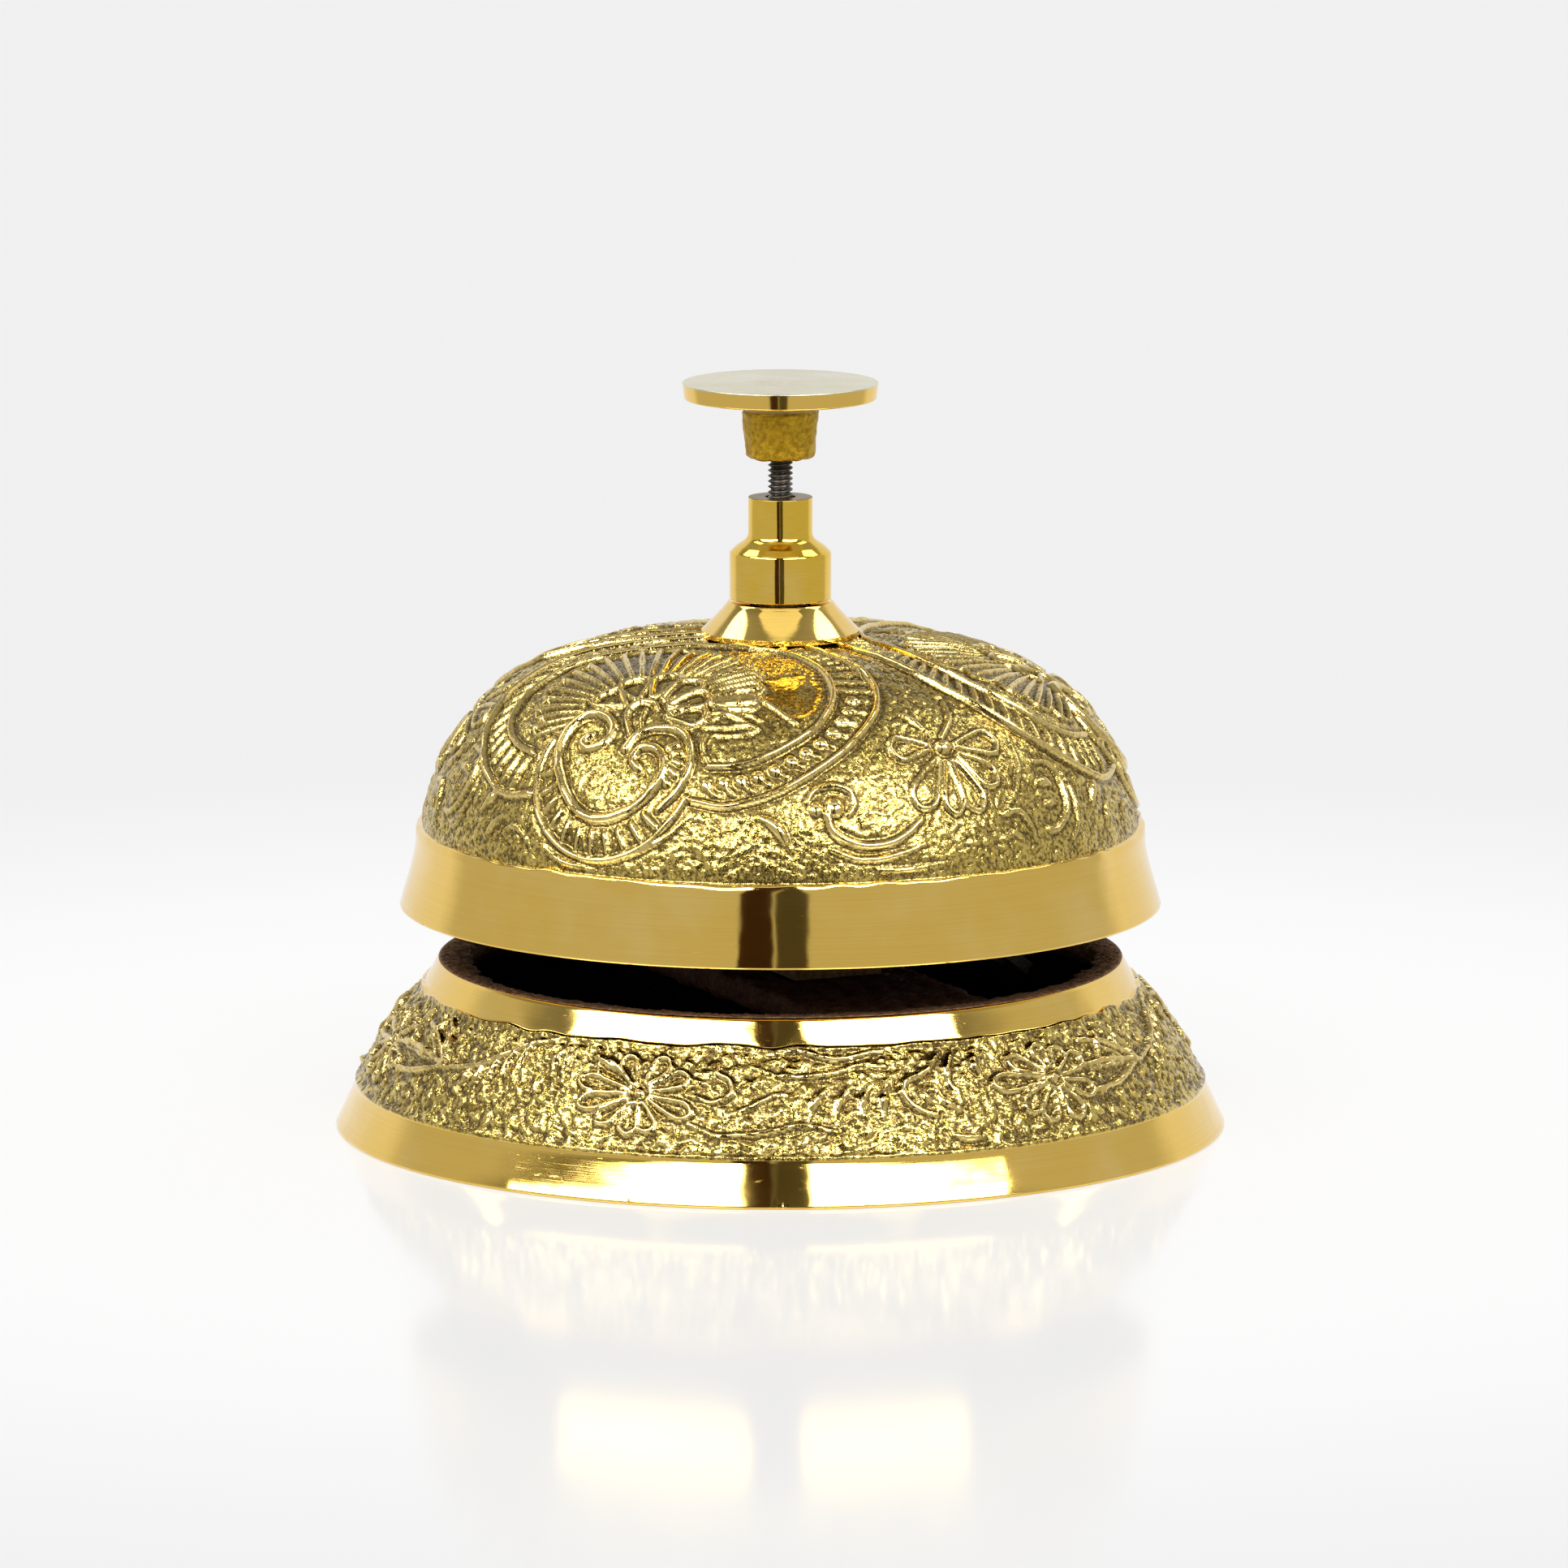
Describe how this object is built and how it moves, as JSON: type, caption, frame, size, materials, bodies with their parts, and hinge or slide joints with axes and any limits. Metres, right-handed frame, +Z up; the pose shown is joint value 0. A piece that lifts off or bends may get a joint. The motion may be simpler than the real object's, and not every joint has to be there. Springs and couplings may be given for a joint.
{
  "type": "counter bell",
  "caption": "Free-standing brass counter bell: pressing the round button slides a rod that swings a hammer up against the inside of the embossed gong, and a spring returns it.",
  "frame": {"origin": "centre of the foot ring's underside, on the surface that the bell stands on", "axes": "+Z up along the push rod's axis, away from the foot; -Y towards the front; the hammer swings towards +X, turned 25 degrees towards +Y"},
  "size_m": [0.114, 0.114, 0.0957],
  "materials": {
    "cast_brass": "cast, embossed, with dark patina in the recesses",
    "polished_brass": "turned and polished",
    "dark_steel": "dull",
    "plated_steel": "satin",
    "fibre": "matt"
  },
  "bodies": {
    "stand": {"base_ring": "cast_brass", "hammer_frame": "cast_brass", "frame_screw_front": "plated_steel", "frame_screw_rear": "plated_steel", "frame_nut_front": "plated_steel", "frame_nut_rear": "plated_steel", "center_tube": "plated_steel", "tube_lock_nut": "plated_steel", "gong_support_nut": "plated_steel", "support_washer": "plated_steel", "fibre_washer": "fibre", "gong": "cast_brass", "cone_collar": "polished_brass", "shoulder_nut": "polished_brass", "pivot_pin": "plated_steel", "pivot_clip": "dark_steel", "return_spring": "plated_steel"},
    "plunger": {"button": "polished_brass", "push_rod": "dark_steel", "rod_collar": "plated_steel", "rod_lock_nut": "plated_steel", "rod_stop_nut": "plated_steel"},
    "hammer": {"hammer_lever": "plated_steel", "hammer_head": "polished_brass", "head_rivet": "dark_steel"}
  },
  "joints": [
    {"name": "plunger_slide", "type": "slide", "parent": "stand", "child": "plunger", "axis": [0, 0, -1], "range_m": [0, 0.0044], "stiffness_N_per_m": 400, "springref_m": -0.003, "deforming": ["return_spring"]},
    {"name": "hammer_pivot", "type": "hinge", "parent": "stand", "child": "hammer", "pos_m": [0.00906, 0.00423, 0.042], "axis": [0.4226, -0.9063, 0], "range_deg": [0, 25.3]}
  ],
  "couplings": [
    {"joint": "hammer_pivot", "follows": "plunger_slide", "rad_per_m": 100}
  ]
}
